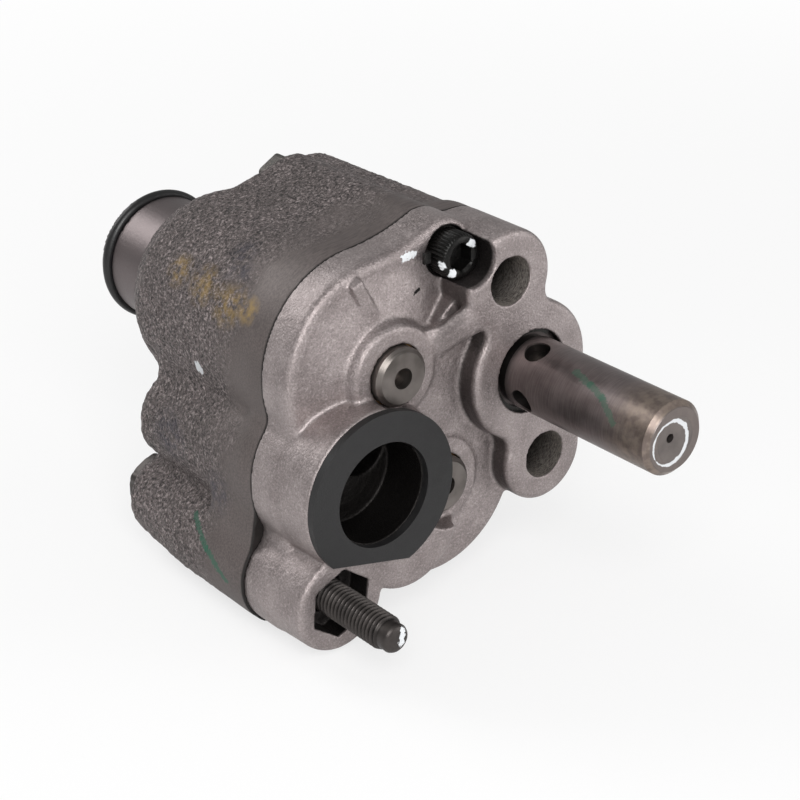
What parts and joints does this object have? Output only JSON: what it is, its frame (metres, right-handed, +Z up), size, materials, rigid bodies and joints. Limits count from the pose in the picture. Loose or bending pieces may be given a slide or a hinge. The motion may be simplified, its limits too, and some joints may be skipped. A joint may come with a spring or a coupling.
{
  "type": "engine oil pump",
  "caption": "Gear-type engine oil pump: cast body and cover with inlet boss and seal, two shafts with meshed gears, relief valve cartridge, rear spigot with ring seal and bolts.",
  "frame": {"origin": "where the drive shaft's axis crosses the plane of the cover's mounting face", "axes": "+Y from the mounting face back along the drive shaft to the spigot, +Z up from the idler side to the drive side as pictured, +X toward the valve cartridge's side"},
  "size_m": [0.1045, 0.179, 0.1123],
  "materials": {
    "pump_body": "sand-cast skin, machined ends",
    "front_cover": "die-cast, machined faces",
    "inlet_seal": "matte",
    "spigot_o_ring": "satin",
    "drive_shaft": "ground",
    "idler_shaft": "ground",
    "drive_gear": "ground flanks, oiled",
    "driven_gear": "ground flanks, oiled",
    "drive_gear_key": "drawn",
    "driven_gear_key": "drawn",
    "front_drive_bush": "turned bronze",
    "rear_drive_bush": "turned bronze",
    "front_idler_bush": "turned bronze",
    "rear_idler_bush": "turned bronze",
    "valve_sleeve": "turned, straw-tempered",
    "valve_retaining_ring": "black oxide",
    "valve_seal_ring": "satin",
    "valve_seat": "ground",
    "valve_plunger": "ground",
    "valve_spring": "drawn wire",
    "valve_end_plug": "turned",
    "mounting_bolt": "phosphated",
    "cover_screw": "black oxide",
    "cover_screw_washer": "plain",
    "cover_nut": "zinc plated",
    "cover_dowels": "ground"
  },
  "bodies": {
    "housing": {"pump_body": "pump_body", "front_cover": "front_cover", "inlet_seal": "inlet_seal", "spigot_o_ring": "spigot_o_ring", "front_drive_bush": "front_drive_bush", "rear_drive_bush": "rear_drive_bush", "front_idler_bush": "front_idler_bush", "rear_idler_bush": "rear_idler_bush", "valve_sleeve": "valve_sleeve", "valve_retaining_ring": "valve_retaining_ring", "valve_seal_ring": "valve_seal_ring", "valve_seat": "valve_seat", "valve_spring": "valve_spring", "valve_end_plug": "valve_end_plug", "cover_screw": "cover_screw", "cover_screw_washer": "cover_screw_washer", "cover_nut": "cover_nut", "cover_dowels": "cover_dowels"},
    "drive_rotor": {"drive_shaft": "drive_shaft", "drive_gear": "drive_gear", "drive_gear_key": "drive_gear_key"},
    "idler_rotor": {"idler_shaft": "idler_shaft", "driven_gear": "driven_gear", "driven_gear_key": "driven_gear_key"},
    "relief_plunger": {"valve_plunger": "valve_plunger"},
    "loose_bolt": {"mounting_bolt": "mounting_bolt"}
  },
  "joints": [
    {"name": "drive_spin", "type": "hinge", "parent": "housing", "child": "drive_rotor", "pos_m": [0, 0, 0], "axis": [0, 1, 0], "continuous": true},
    {"name": "idler_spin", "type": "hinge", "parent": "housing", "child": "idler_rotor", "pos_m": [0.0155, 0, -0.03742], "axis": [0, 1, 0], "continuous": true},
    {"name": "plunger_lift", "type": "slide", "parent": "housing", "child": "relief_plunger", "axis": [0, -1, 0], "range_m": [0, 0.012], "stiffness_N_per_m": 900, "springref_m": -0.004, "deforming": ["valve_spring"]},
    {"name": "bolt_slide", "type": "slide", "parent": "housing", "child": "loose_bolt", "axis": [0, 1, 0], "range_m": [0, 0.02]}
  ],
  "couplings": [
    {"joint": "idler_spin", "follows": "drive_spin", "ratio": -1}
  ]
}
